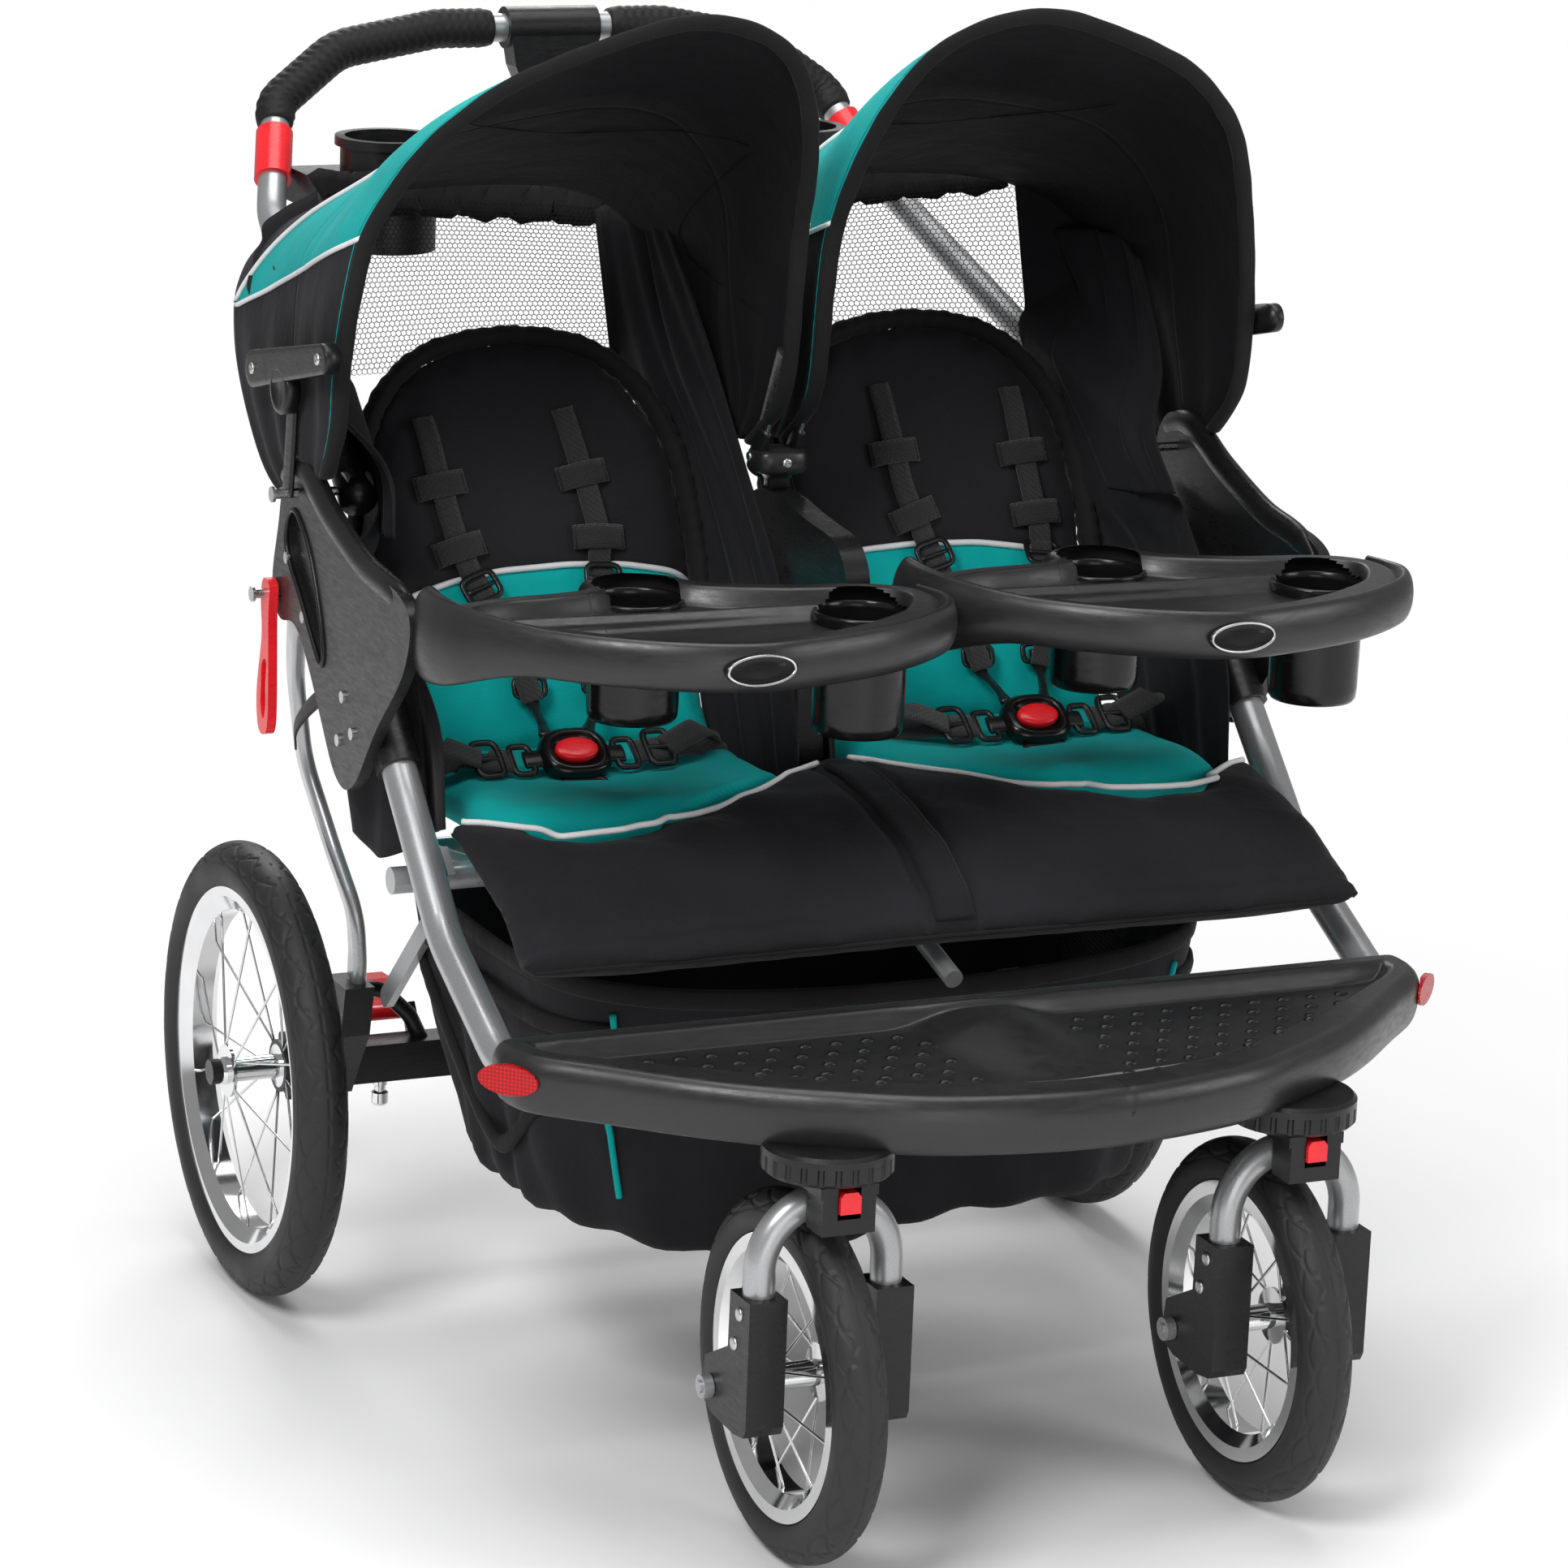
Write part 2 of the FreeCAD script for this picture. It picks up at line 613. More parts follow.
def side_plate(side, tag):
    """Plate with an outer recess, pin holes and the boot for the front frame tube."""
    outer = "-dims.plate_in - dims.plate_thick" if side < 0 else "dims.plate_in + dims.plate_thick"
    low_x = outer if side < 0 else "dims.plate_in"
    into_plate = side < 0
    body = new_body("side_blank_" + tag)
    sketch = new_sketch(body, "YZ_Plane", "plate_" + tag, low_x)
    draw_curve(sketch, PLATE_OUTLINE, closed=True)
    pad(body, sketch, "plate_pad_" + tag, "dims.plate_thick")
    sketch = new_sketch(body, "YZ_Plane", "recess_" + tag, outer)
    draw_curve(sketch, PLATE_RECESS, closed=True)
    pocket(body, sketch, "recess_cut_" + tag, "dims.plate_recess", reverse=into_plate)
    sketch = new_sketch(body, "YZ_Plane", "pins_" + tag, outer)
    draw_circle(sketch, HINGE_Y, HINGE_Z, PIN_BORE_EXPR)
    draw_circle(sketch, LEG_HINGE_Y, LEG_HINGE_Z, PIN_BORE_EXPR)
    pocket(body, sketch, "pins_cut_" + tag, reverse=into_plate)
    fused = doc.addObject("Part::Fuse", "side_fuse_" + tag)
    fused.Base = body
    fused.Tool = plain("boot_" + tag, tube_boot(side))
    plate = doc.addObject("Part::Cut", "side_plate_" + tag)
    plate.Base = fused
    plate.Tool = plain("socket_" + tag, front_void)
    keep(plate, "side_plate_" + tag)


def frame_rivets():
    """Rivet heads on the side plates, and the hinge pins of the fold and the rear legs."""
    head_start, head_end = 431.5, 434.0
    # y, z, inner end
    pins = ((HINGE_Y, HINGE_Z, 346.0), (LEG_HINGE_Y, LEG_HINGE_Z, 375.0))
    parts = []
    for side in LEFT_RIGHT:
        x = side * (PLATE_OUT + 0.05)
        for y, z in RIVETS:
            parts.append(rod_x(x, x + side * 2.5, y, z, 5.0))
        for y, z, inner in pins:
            pin = rod_x(side * inner, side * head_start, y, z, dim("pin_radius"))
            parts.append(pin.fuse(rod_x(side * head_start, side * head_end, y, z, 6.5)))
    feature("frame_rivets", compound(parts))


# ------------------------------------------------------------------ handle
HANDLE_BEND = 60.0
HANDLE_BAR_Y, HANDLE_BAR_Z = 362, 1046
# (x, y, z) of the left half's corners, from the fold pin up to the cross bar
HANDLE_LEFT = [
    (-361, HINGE_Y, HINGE_Z), (-302, 254, 901), (-268, 344, 985), (-205, HANDLE_BAR_Y, 1029),
    (-110, HANDLE_BAR_Y, HANDLE_BAR_Z),
]
ARM_LOW, ARM_HIGH = HANDLE_LEFT[1:3]
GRIP_LEFT = (
    [between(ARM_LOW, ARM_HIGH, 0.80)] + HANDLE_LEFT[2:] + [(-58, HANDLE_BAR_Y, HANDLE_BAR_Z)]
)
COLLAR_LEFT = [between(ARM_LOW, ARM_HIGH, 0.30), between(ARM_LOW, ARM_HIGH, 0.72)]
# (x, z) of the half tab under the sleeve
SLEEVE_TAB = [(-44, HANDLE_BAR_Z), (-38, 1012), (-26, 985)]

handle_path = bent(mirrored(HANDLE_LEFT), HANDLE_BEND)
handle_void = tube(handle_path, dim("handle_tube_radius") + FIT)
collar_spans = [[Vector(*p) for p in on_side(COLLAR_LEFT, side)] for side in LEFT_RIGHT]


def handle_tube():
    """Bent tube with a round eye on each fold pin."""
    handle = tube(handle_path, dim("handle_tube_radius"))
    for side in LEFT_RIGHT:
        handle = handle.fuse(rod_x(side * 350, side * 372, HINGE_Y, HINGE_Z, 15.0))
    for side in LEFT_RIGHT:
        handle = handle.cut(rod_x(side * 340, side * 380, HINGE_Y, HINGE_Z, PIN_BORE))
    feature("handle_tube", handle)


def handle_covers():
    """Foam grips, red collars, and the sleeve with a tab on the middle of the bar."""
    grips = [
        tube(bent(on_side(GRIP_LEFT, side), HANDLE_BEND), dim("grip_radius")).cut(handle_void)
        for side in LEFT_RIGHT
    ]
    feature("handle_grips", compound(grips))
    collars = [rod(low, high, dim("collar_radius")).cut(handle_void) for low, high in collar_spans]
    feature("handle_collars", compound(collars))
    sleeve = rod_x(-44, 44, HANDLE_BAR_Y, HANDLE_BAR_Z, 19.0)
    sleeve = sleeve.fuse(prism([(x, 344, z) for x, z in mirrored(SLEEVE_TAB)], (0, 26, 0)))
    feature("handle_sleeve", sleeve.cut(handle_void))


def parent_console():
    """Shallow tray between the handle arms with two cup holders."""
    cups = [(side * 196.0, 246) for side in LEFT_RIGHT]
    console = block(-272, 272, 196, 300, 905, 935).cut(block(-120, 120, 206, 290, 915, 940))
    for x, y in cups:
        console = console.fuse(rod_z(x, y, 868, 966, 43.0))
        console = console.fuse(rod_z(x, y, 960, 968, 48.0))
    for x, y in cups:
        console = console.cut(rod_z(x, y, 872, 990, 39.5))
    console = console.cut(tube(handle_path, dim("handle_tube_radius") + 1.0))
    for low, high in collar_spans:
        console = console.cut(rod(low, high, dim("collar_radius") + 0.5, extra=1.0))
    feature("parent_console", console)


def rear_mesh_panels():
    """See-through panels behind the seats."""
    parts = []
    for side in LEFT_RIGHT:
        outer, inner = side * 330, side * 62
        corners = [(outer, 26, 846), (inner, 26, 846), (inner, 49, 918), (outer, 49, 918)]
        parts.append(prism(corners, (0, 2.0, -0.6)))
    feature("rear_mesh_panels", compound(parts))


# ------------------------------------------------------------------ rear legs and axle
# (x, y, z) of the left leg's corners, from its hinge down
REAR_LEG = [
    (-382.5, LEG_HINGE_Y, LEG_HINGE_Z), (-378, -44, 602), (-361, 6, 545), (-350, 10, 468),
    (-338, -34, 398), (-327, -62, 348), (-321, -52, 308), (-319, -45, 286),
]
# all as (y, z)
AXLE_BRACKET = [
    (-70, 284), (-22, 284), (2, 252), (22, 222), (24, 186), (12, 174), (-18, 174), (-34, 200),
    (-60, 238),
]
PEDAL_LUG = [(10, 190), (10, 212), (28, 236), (42, 230), (42, 216), (26, 190)]
PEDAL = [(32, 229), (38, 222), (72, 236), (96, 236), (96, 244), (70, 246)]
# (x, y, z) of the right arched brace, from its outer end to the beam
BEAM_ARCH = [(307, -4, 262), (282, -4, 262), (254, -3, 234), (240, 0, 206)]
# (radius, z) of the release pin, from its top
WHEEL_PIN = [
    (0, 0), (CROSS_PIN, 0), (CROSS_PIN, -15), (6.5, -15), (6.5, -19), (5, -20), (5, -24),
    (7.5, -26), (7.5, -35), (6, -37), (0, -37),
]
LUG_INNER, LUG_OUTER = 240.0, 306.0
PEDAL_Y, PEDAL_Z = 34, 226  # pedal axis


def rear_legs():
    """Flat-sided legs; returns their shapes."""
    legs = []
    for side, tag in SIDES:
        leg = flat_tube(bent(on_side(REAR_LEG, side), 70.0), 12.0, 30.0)
        leg = leg.fuse(rod_x(side * 376.6, side * 388.4, LEG_HINGE_Y, LEG_HINGE_Z, 16.0))
        leg = leg.cut(rod_x(side * 370, side * 395, LEG_HINGE_Y, LEG_HINGE_Z, PIN_BORE))
        feature("rear_leg_" + tag, leg)
        legs.append(leg)
    return legs


def axle_brackets(legs):
    parts = []
    for side in LEFT_RIGHT:
        part = prism_x(AXLE_BRACKET, side * 311.5, side * 338.0)
        bore = dim("rear_axle_radius") + FIT
        part = part.cut(rod_x(side * 300, side * 350, 0, REAR_AXLE_Z, bore))
        for leg in legs:
            part = part.cut(leg)
        parts.append(largest(part))
    feature("axle_brackets", compound(parts))


def axle_beam():
    """Beam with the through axle, the two arched braces and the pedal lugs."""
    half, half_tall, half_deep = dim("beam_half"), dim("beam_tall") / 2, dim("beam_deep") / 2
    rod_end, centre_z = dim("overall_half"), REAR_AXLE_Z - 2
    low, high = centre_z - half_tall, centre_z + half_tall
    beam = block(-half, half, -half_deep, half_deep, low, high)
    beam = beam.fuse(rod_x(-rod_end, rod_end, 0, REAR_AXLE_Z, dim("rear_axle_radius")))
    for side in LEFT_RIGHT:
        beam = beam.fuse(rod_x(side * 427.5, side * rod_end, 0, REAR_AXLE_Z, 11.0))
        beam = beam.fuse(tube(bent(on_side(BEAM_ARCH, -side), 30.0), 7.0))
        for x in (side * LUG_INNER, side * LUG_OUTER):
            beam = beam.fuse(prism_x(PEDAL_LUG, x - 2.5, x + 2.5))
        beam = beam.fuse(rod_x(side * LUG_INNER, side * LUG_OUTER, PEDAL_Y, PEDAL_Z, CROSS_PIN))
    for side in LEFT_RIGHT:
        x = side * dim("wheel_pin_out")
        beam = beam.cut(rod_z(x, 0, REAR_AXLE_Z - 30, REAR_AXLE_Z - 6, CROSS_PIN + RUN))
    feature("axle_beam", beam)


def brake_pedal(side, tag):
    inner, outer = side * 243.5, side * 302.5
    pedal = rod_x(inner, outer, PEDAL_Y, PEDAL_Z, 6.5)
    pedal = pedal.fuse(prism_x(PEDAL, inner, outer))
    pedal = pedal.cut(rod_x(side * 230, side * 320, PEDAL_Y, PEDAL_Z, CROSS_PIN + RUN))
    feature("brake_pedal_" + tag, pedal)


def wheel_pin(side, tag):
    """Spring plunger that lets the rear wheel go."""
    body = new_body("wheel_pin_" + tag)
    sketch = new_sketch(body, "XZ_Plane", "pin_profile_" + tag)
    draw_lines(sketch, WHEEL_PIN + WHEEL_PIN[:1])
    revolve(body, sketch, "pin_turn_" + tag, "V_Axis")
    base = (sided(side, "dims.wheel_pin_out"), "0", "dims.rear_radius - 7")
    keep(body, "wheel_pin_" + tag, base)


# ------------------------------------------------------------------ seat frame
FRONT_BAR_Y, FRONT_BAR_Z = -345.0, 461.0
BACK_BAR_Y, BACK_BAR_Z = -200.0, 440.0
LINK_PIN_Y, LINK_PIN_Z = -206.0, 393.0
# both as (y, z)
FRONT_TAB = [
    (FRONT_BAR_Y - 8, FRONT_BAR_Z - 12), (FRONT_BAR_Y + 10, FRONT_BAR_Z - 6),
    (FRONT_BAR_Y + 8, FRONT_BAR_Z + 12), (-372, 494), (-392, 476),
]
LINK_TAB = [
    (BACK_BAR_Y - 9, BACK_BAR_Z), (BACK_BAR_Y + 9, BACK_BAR_Z), (LINK_PIN_Y + 9, LINK_PIN_Z - 3),
    (LINK_PIN_Y, LINK_PIN_Z - 10), (LINK_PIN_Y - 10, LINK_PIN_Z - 3),
]


def seat_frame():
    """Two cross bars, side rails, tabs, link pins, and a middle strut to the footrest."""
    parts = [
        rod_x(-402, 402, FRONT_BAR_Y, FRONT_BAR_Z, 11.0),
        rod_x(-330, 330, BACK_BAR_Y, BACK_BAR_Z, 11.0),
    ]
    for side in LEFT_RIGHT:
        x = side * 319
        front, back = Vector(x, FRONT_BAR_Y, FRONT_BAR_Z), Vector(x, BACK_BAR_Y, BACK_BAR_Z)
        parts.append(rod(front, back, 9.0))
        parts.append(prism_x(FRONT_TAB, side * 364, side * 370.8))
        parts.append(prism_x(LINK_TAB, side * 310.5, side * 316.0))
        parts.append(rod_x(side * 301.0, side * 314.0, LINK_PIN_Y, LINK_PIN_Z, CROSS_PIN))
    parts.append(rod(Vector(0, FRONT_BAR_Y, FRONT_BAR_Z), Vector(0, -556, 404), 8.0))
    feature("seat_frame", parts[0].fuse(parts[1:]))


def brace_links():
    """Round-ended bars from the seat frame's link pins down toward the axle."""
    thick, half_wide = dim("link_thick"), 9.0
    parts = []
    for side in LEFT_RIGHT:
        inner = side * 302.5
        x = min(inner, inner + side * thick)
        top, foot = Vector(x, LINK_PIN_Y, LINK_PIN_Z), Vector(x, -88.0, 280.0)
        down = foot - top
        down.normalize()
        across = Vector(0, -down.z, down.y) * half_wide
        down = down * half_wide
        wire = Part.Wire([
            arc(top + across, top - down, top - across), line(top - across, foot - across),
            arc(foot - across, foot + down, foot + across), line(foot + across, top + across),
        ])
        link = Part.Face(wire).extrude(Vector(thick, 0, 0))
        link = link.cut(rod_x(side * 290, side * 320, top.y, top.z, CROSS_PIN + RUN))
        link = link.cut(rod_x(side * 290, side * 320, foot.y, foot.z, 3.2))
        parts.append(link)
    feature("brace_links", compound(parts))


# ------------------------------------------------------------------ centre bracket and post
# both as (y, z)
CENTRE_BRACKET = [
    (-150, 690), (-150, 716), (-188, 727), (-240, 722), (-292, 716), (-334, 704), (-346, 676),
    (-322, 662), (-286, 648), (-268, 610), (-262, 560), (-262, 500), (-212, 500), (-212, 560),
    (-214, 610), (-218, 650), (-190, 676),
]
POST_RELIEF = [(-230, 700), (-120, 700), (-120, 716), (-150, 722), (-188, 730), (-230, 727)]


def centre_bracket():
    body = new_body("centre_bracket")
    sketch = new_sketch(body, "YZ_Plane", "centre_outline")
    draw_curve(sketch, CENTRE_BRACKET, closed=True)
    pad(body, sketch, "centre_pad", "dims.bracket_wide", symmetric=True)
    keep(body, "centre_bracket")


def canopy_post():
    """Short post with a block on top, cut clear of the centre bracket."""
    post = Part.makeCylinder(9.5, 16.0, Vector(0, -176, 728.0), Vector(0, -0.1, 1))
    post = post.fuse(block(-24, 24, -200, -158, 742, 762))
    post = post.cut(block(-40, 40, -260, -100, 700, 727.8)).cut(prism_x(POST_RELIEF, -40, 40))
    feature("canopy_post", post)


# ------------------------------------------------------------------ trays
# all as (x, y) from the tray's own middle line
TRAY_OUTLINE = [
    (-170, -402), (-130, -386), (-76, -381), (-50, -368), (-40, -344), (0, -326), (40, -344),
    (60, -372), (110, -398), (176, -411), (208, -430), (222, -460), (214, -500), (190, -540),
    (130, -582), (60, -606), (0, -614), (-60, -592), (-110, -556), (-150, -510), (-174, -462),
    (-182, -426),
]
TRAY_MIDDLE_Y = -455
TRAY_WELL = [
    (x * 0.9 + 2, (y - TRAY_MIDDLE_Y) * 0.84 + TRAY_MIDDLE_Y) for x, y in TRAY_OUTLINE
]
TRAY_CUPS = [(0, -372), (158, -462)]
TRAY_BUTTON = [(-11, -5), (-8, -8), (8, -8), (11, -5), (11, 5), (8, 8), (-8, 8), (-11, 5)]


def tray(side, tag):
    """Tray with a well and two cup holders hanging below it."""
    body = new_body("tray_" + tag)
    sketch = new_sketch(body, "XY_Plane", "tray_outline_" + tag, "dims.tray_low")
    draw_curve(sketch, TRAY_OUTLINE, closed=True)
    pad(body, sketch, "tray_pad_" + tag, "dims.tray_high - dims.tray_low")
    sketch = new_sketch(body, "XY_Plane", "cup_outline_" + tag, "dims.cup_bottom")
    for x, y in TRAY_CUPS:
        draw_circle(sketch, x, y, "dims.cup_radius")
    # the cups reach 5 mm into the tray
    pad(body, sketch, "cup_pad_" + tag, "dims.tray_low - dims.cup_bottom + 5")
    sketch = new_sketch(body, "XY_Plane", "tray_well_" + tag, "dims.tray_high")
    draw_curve(sketch, TRAY_WELL, closed=True)
    pocket(body, sketch, "tray_well_cut_" + tag, "dims.tray_well")
    sketch = new_sketch(body, "XY_Plane", "cup_well_" + tag, "dims.tray_high")
    for x, y in TRAY_CUPS:
        draw_circle(sketch, x, y, "dims.cup_radius - dims.cup_wall")
    depth = "dims.tray_high - dims.cup_bottom - dims.cup_wall"
    pocket(body, sketch, "cup_well_cut_" + tag, depth)
    keep(body, "tray_" + tag, (sided(side, "dims.tray_step / 2"), "0", "0"))


def tray_button(side, tag):
    """Red release button under the left part of each tray."""
    body = new_body("tray_button_" + tag)
    sketch = new_sketch(body, "XY_Plane", "button_" + tag)
    draw_lines(sketch, TRAY_BUTTON + TRAY_BUTTON[:1])
    pad(body, sketch, "button_pad_" + tag, "dims.button_tall")
    x_expr = sided(side, "dims.tray_step / 2") + " - dims.button_left"
    base = (x_expr, "-dims.button_fwd", "dims.tray_low - dims.button_drop")
    keep(body, "tray_button_" + tag, base)


# ------------------------------------------------------------------ fold levers
# both as (y, z)
LEVER_OUTLINE = [
    (-94, 652), (-82, 652), (-77, 640), (-80, 610), (-76, 585), (-70, 560), (-70, 535),
    (-78, 520), (-92, 522), (-98, 540), (-98, 570), (-97, 600), (-98, 640),
]
LEVER_SLOT = [
    (-88, 585), (-83, 582), (-80, 560), (-80, 542), (-86, 533), (-91, 542), (-91, 565),
]


def fold_lever(side, tag):
    """Slotted lever on the rear leg pin, outside the side plate."""
    if side < 0:
        low_x = "-dims.plate_in - dims.plate_thick - dims.lever_gap - dims.lever_thick"
    else:
        low_x = "dims.plate_in + dims.plate_thick + dims.lever_gap"
    body = new_body("fold_lever_" + tag)
    sketch = new_sketch(body, "YZ_Plane", "lever_outline_" + tag, low_x)
    draw_curve(sketch, LEVER_OUTLINE, closed=True)
    pad(body, sketch, "lever_pad_" + tag, "dims.lever_thick")
    sketch = new_sketch(body, "YZ_Plane", "lever_slot_" + tag, low_x)
    draw_curve(sketch, LEVER_SLOT, closed=True)
    pocket(body, sketch, "lever_slot_cut_" + tag, "dims.lever_thick", reverse=True)
    sketch = new_sketch(body, "YZ_Plane", "lever_eye_" + tag, low_x)
    draw_circle(sketch, LEG_HINGE_Y, LEG_HINGE_Z, PIN_BORE_EXPR)
    pocket(body, sketch, "lever_eye_cut_" + tag, "dims.lever_thick", reverse=True)
    keep(body, "fold_lever_" + tag)


# ------------------------------------------------------------------ soft parts
# (x, z) of the seat back's rounded top, left half, from the recline axis
BACK_TOP = [(-136, 330), (-120, 358), (-90, 380), (-48, 392), (0, 396)]
BACK_FOOT_Z = 8
# all as (y, z)
CUSHION = [(-384, 520), (-384, 480), (-198, 476), (-198, 497), (-300, 512)]
LEG_REST = [
    (-390, 524), (-445, 512), (-505, 488), (-565, 452), (-540, 422), (-490, 452), (-435, 476),
    (-390, 490),
]
OUTER_PANEL = [
    (-355, 486), (-214, 486), (-214, 497), (-150, 497), (-118, 560), (-38, 738), (-76, 734),
    (-135, 705), (-150, 700), (-300, 620), (-372, 560),
]
INNER_PANEL = [
    (-200, 486), (-188, 497), (-150, 497), (-118, 560), (16, 836), (-40, 846), (-130, 760),
    (-140, 700), (-195, 660), (-205, 560),
]


def seat_back(side, tag):
    """Leaning back panel with a bar along its foot."""
    body = new_body("seat_back_" + tag)
    sketch = new_sketch(body, "XZ_Plane", "back_outline_" + tag)
    top = mirrored(BACK_TOP)
    draw_curve(sketch, top)
    foot = [(top[-1][0], BACK_FOOT_Z), (top[0][0], BACK_FOOT_Z)]
    draw_lines(sketch, [top[-1]] + foot + [top[0]])
    pad(body, sketch, "back_pad_" + tag, "dims.back_thick", symmetric=True)
    sketch = new_sketch(body, "YZ_Plane", "back_bar_" + tag)
    draw_circle(sketch, 0, 0, "dims.back_bar_radius")
    pad(body, sketch, "back_bar_pad_" + tag, "dims.back_bar_long", symmetric=True)
    base = (sided(side, "dims.back_out"), "-dims.seat_hinge_fwd", "dims.seat_hinge_up")
    keep(body, "seat_back_" + tag, base, roll=-dim("recline"))


def seat_pads():
    """Seat cushions, leg rest and side panels."""
    cushions = [prism_x(CUSHION, side * 40, side * 336) for side in LEFT_RIGHT]
    feature("seat_cushions", compound(cushions))
    feature("leg_rest_pad", prism_x(LEG_REST, -366, 366))
    panels = (
        (OUTER_PANEL, -340, -337.5), (OUTER_PANEL, 337.5, 340),
        (INNER_PANEL, -24, -21), (INNER_PANEL, 21, 24),
    )
    feature("seat_side_panels", compound([prism_x(*panel) for panel in panels]))


def basket_ring(half, front, back, z, inset=0.0):
    """A level rectangle, half as wide as given, between two Y lines."""
    half, front, back = half - inset, front + inset, back - inset
    corners = [(-half, front), (half, front), (half, back), (-half, back)]
    corners = [Vector(x, y, z) for x, y in corners]
    return Part.makePolygon(corners + corners[:1])


def storage_basket():
    """Tapered basket, open at the top, with a 4 mm wall."""
    low, top, wall = (262, -452, -92), (295, -476, -34), 4.0
    outer = Part.makeLoft([basket_ring(*low, 158), basket_ring(*top, 392)], True, True)
    rings = [basket_ring(*low, 162, wall), basket_ring(*top, 396, wall)]
    feature("storage_basket", outer.cut(Part.makeLoft(rings, True, True)))


# ------------------------------------------------------------------ canopies
# left canopy; radius is from the fold axis, angle in degrees up from +Y about that axis
# (x, radius) of the front edge, before scaling
CANOPY_FRONT = [
    (-12, 30), (-10, 90), (-10, 160), (-12, 225), (-20, 290), (-38, 345), (-66, 385),
    (-110, 408), (-165, 413), (-237, 392), (-307, 360), (-360, 312), (-388, 262), (-404, 220),
    (-415, 140), (-418, 60), (-418, 34),
]
CLOTH_SCALE, CLOTH_ANGLE = 1.10, 115.0
# (x, radius, angle) of the rear edge
CANOPY_REAR = [
    (-14, 60, 20), (-14, 130, 30), (-15, 190, 37), (-30, 235, 42), (-48, 262, 45),
    (-74, 280, 47), (-110, 290, 48), (-155, 293, 48), (-210, 293, 48), (-268, 290, 48),
    (-322, 283, 47), (-362, 271, 44), (-390, 254, 39), (-404, 233, 34), (-415, 190, 28),
    (-418, 120, 14), (-418, 62, 0),
]
CANOPY_MIDDLE = -213.0
HOOP_ANGLE = 114.0
# (y, z) of the side stay
STAY = [
    (-152, 728), (-134, 718), (-118, 728), (-122, 786), (-112, 811), (-84, 813), (-66, 824),
    (-70, 842), (-86, 847), (-160, 863), (-246, 882), (-262, 873), (-260, 857), (-246, 851),
    (-172, 835), (-158, 812), (-154, 778),
]


def about_hinge(x, radius, degrees):
    angle = math.radians(degrees)
    return (x, HINGE_Y + radius * math.cos(angle), HINGE_Z + radius * math.sin(angle))


def cloth_rows(edge):
    """Outer and inner lines of a cloth edge given as (x, radius, angle)."""
    outer, inner = [], []
    for i, (x, radius, degrees) in enumerate(edge):
        before, after = edge[max(i - 1, 0)], edge[min(i + 1, len(edge) - 1)]
        run_x, run_radius = after[0] - before[0], after[1] - before[1]
        length = math.hypot(run_x, run_radius)
        for row, depth in ((outer, 0.0), (inner, dim("fabric"))):
            row_x = x - run_radius / length * depth
            row.append(about_hinge(row_x, radius + run_x / length * depth, degrees))
    return outer, inner


def cloth_solid(front_out, front_in, rear_out, rear_in):
    """Closed solid of a taut sheet between a front edge and a rear edge."""
    faces = []

    def quad(a, b, c, d):
        faces.extend([flat_face([a, b, c]), flat_face([a, c, d])])

    for i in range(len(front_out) - 1):
        j = i + 1
        quad(front_out[i], front_out[j], rear_out[j], rear_out[i])
        quad(front_in[i], rear_in[i], rear_in[j], front_in[j])
        quad(front_out[i], front_in[i], front_in[j], front_out[j])
        quad(rear_out[i], rear_out[j], rear_in[j], rear_in[i])
    quad(front_out[0], rear_out[0], rear_in[0], front_in[0])
    quad(front_out[-1], front_in[-1], rear_in[-1], rear_out[-1])
    shell = Part.makeShell(faces)
    shell.sewShape()
    # sewing may wrap the shell in a compound
    solid = Part.makeSolid(shell if shell.ShapeType == "Shell" else shell.Shells[0])
    if solid.Volume < 0:
        solid.reverse()
    return solid


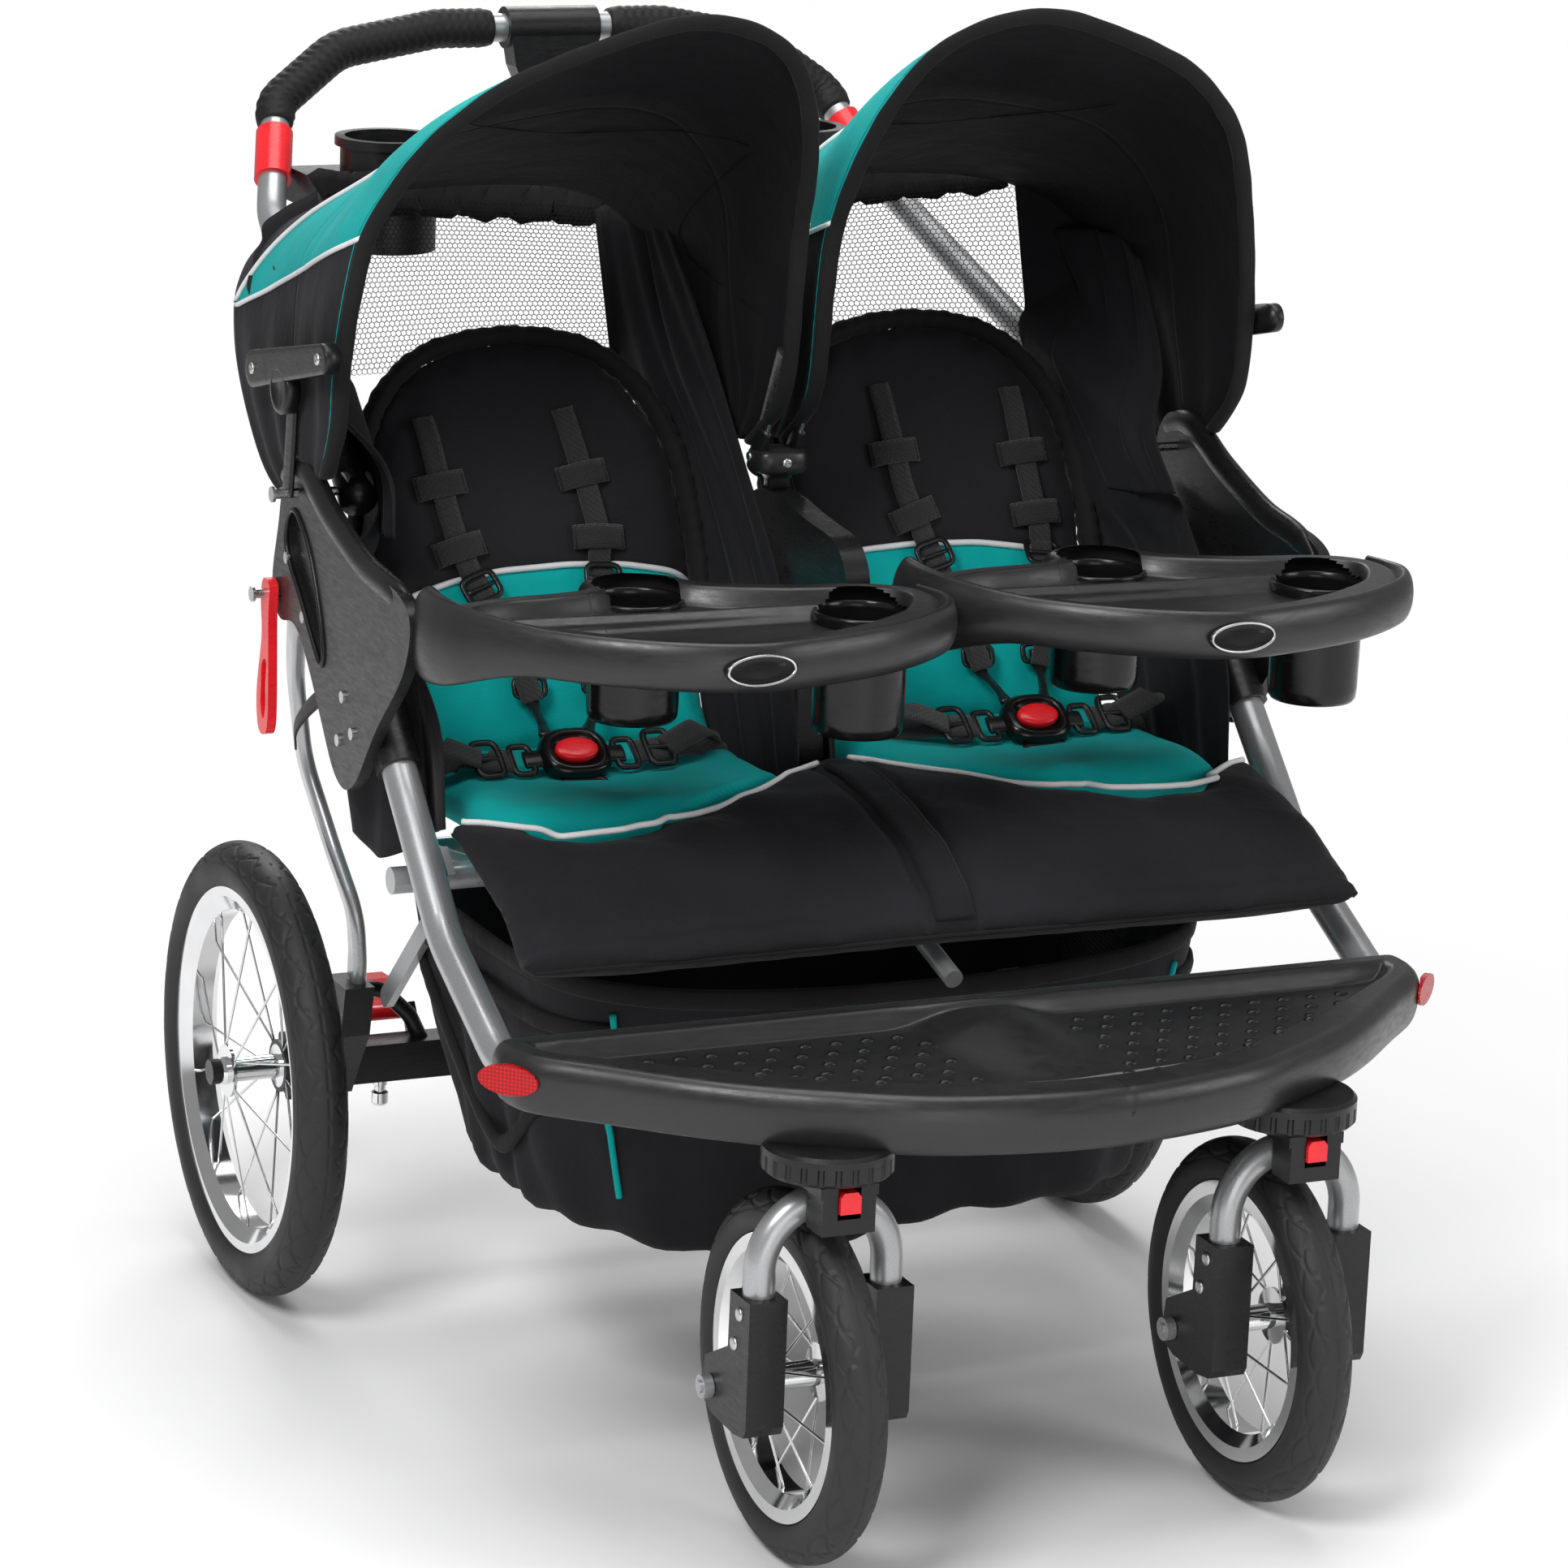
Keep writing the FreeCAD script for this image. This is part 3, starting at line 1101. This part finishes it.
def canopy(side, tag):
    """Cloth, the steel hoop just inside its front edge and the black side stay."""
    front = [(x, radius * CLOTH_SCALE, CLOTH_ANGLE) for x, radius in CANOPY_FRONT]
    rows = cloth_rows(front) + cloth_rows(CANOPY_REAR)
    feature("canopy_" + tag, cloth_solid(*[on_side(row, side) for row in rows]))

    hoop = []
    for x, radius in CANOPY_FRONT[1:-2]:
        hoop_x = max(CANOPY_MIDDLE + (x - CANOPY_MIDDLE) * 0.945, -397.0)
        hoop.append(about_hinge(hoop_x, radius * 1.06 - 7, HOOP_ANGLE))
    feature("canopy_hoop_" + tag, tube([spline(on_side(hoop, side)).toShape()], 3.0))

    outline = spline([(side * 422.0, y, z) for y, z in STAY], closed=True)
    stay = Part.Face(Part.Wire([outline.toShape()])).extrude(Vector(side * 8.0, 0, 0))
    stay = stay.cut(rod_x(side * 410, side * 440, HINGE_Y, HINGE_Z, PIN_BORE))
    feature("canopy_stay_" + tag, stay)


def harness():
    """Round buckle with a push button, one per seat, tilted to the front."""
    tilt = math.radians(35.0)
    facing = Vector(0, -math.sin(tilt), math.cos(tilt))
    buckles = []
    for side, tag in SIDES:
        centre = Vector(side * 212, -258, 523.5)
        buckle = Part.makeCylinder(24.0, 12.0, centre, facing)
        recess = Part.makeCylinder(11.0, 10.0, centre + facing * 3.0, facing)
        buckles.append(buckle.cut(recess))
        button = Part.makeCylinder(10.5, 9.5, centre + facing * 6.0, facing)
        feature("buckle_button_" + tag, button)
    feature("harness_buckles", compound(buckles))


# ------------------------------------------------------------------ build
def for_both(*builders):
    for side, tag in SIDES:
        for build in builders:
            build(side, tag)


for_both(wheels)
for_both(caster_fork, fork_brackets, swivel_lock)
swivel_housings()
feature("front_frame_tube", tube(front_path, dim("leg_tube")))
footrest()
for_both(side_plate)
frame_rivets()
handle_tube()
handle_covers()
parent_console()
rear_mesh_panels()
axle_brackets(rear_legs())
axle_beam()
for_both(brake_pedal, wheel_pin)
seat_frame()
brace_links()
centre_bracket()
canopy_post()
for_both(tray, tray_button)
for_both(fold_lever)
for_both(seat_back)
seat_pads()
storage_basket()
for_both(canopy)
harness()
# the reflectors are cut by the finished footrest
doc.recompute()
reflectors()
doc.recompute()

# ------------------------------------------------------------------ checks and export
failed = []
for obj in doc.Objects:
    state = list(obj.State)
    if "Invalid" in state or "Error" in state:
        failed.append((obj.Name, state))
for name, obj in PIECES.items():
    if obj.Shape.isNull() or not obj.Shape.isValid() or not obj.Shape.Solids:
        failed.append((name, "null or invalid shape"))
if failed:
    raise RuntimeError("failed objects: %r" % failed)
os.makedirs("parts", exist_ok=True)
for name, obj in PIECES.items():
    obj.Shape.exportStep("parts/%s.step" % name)
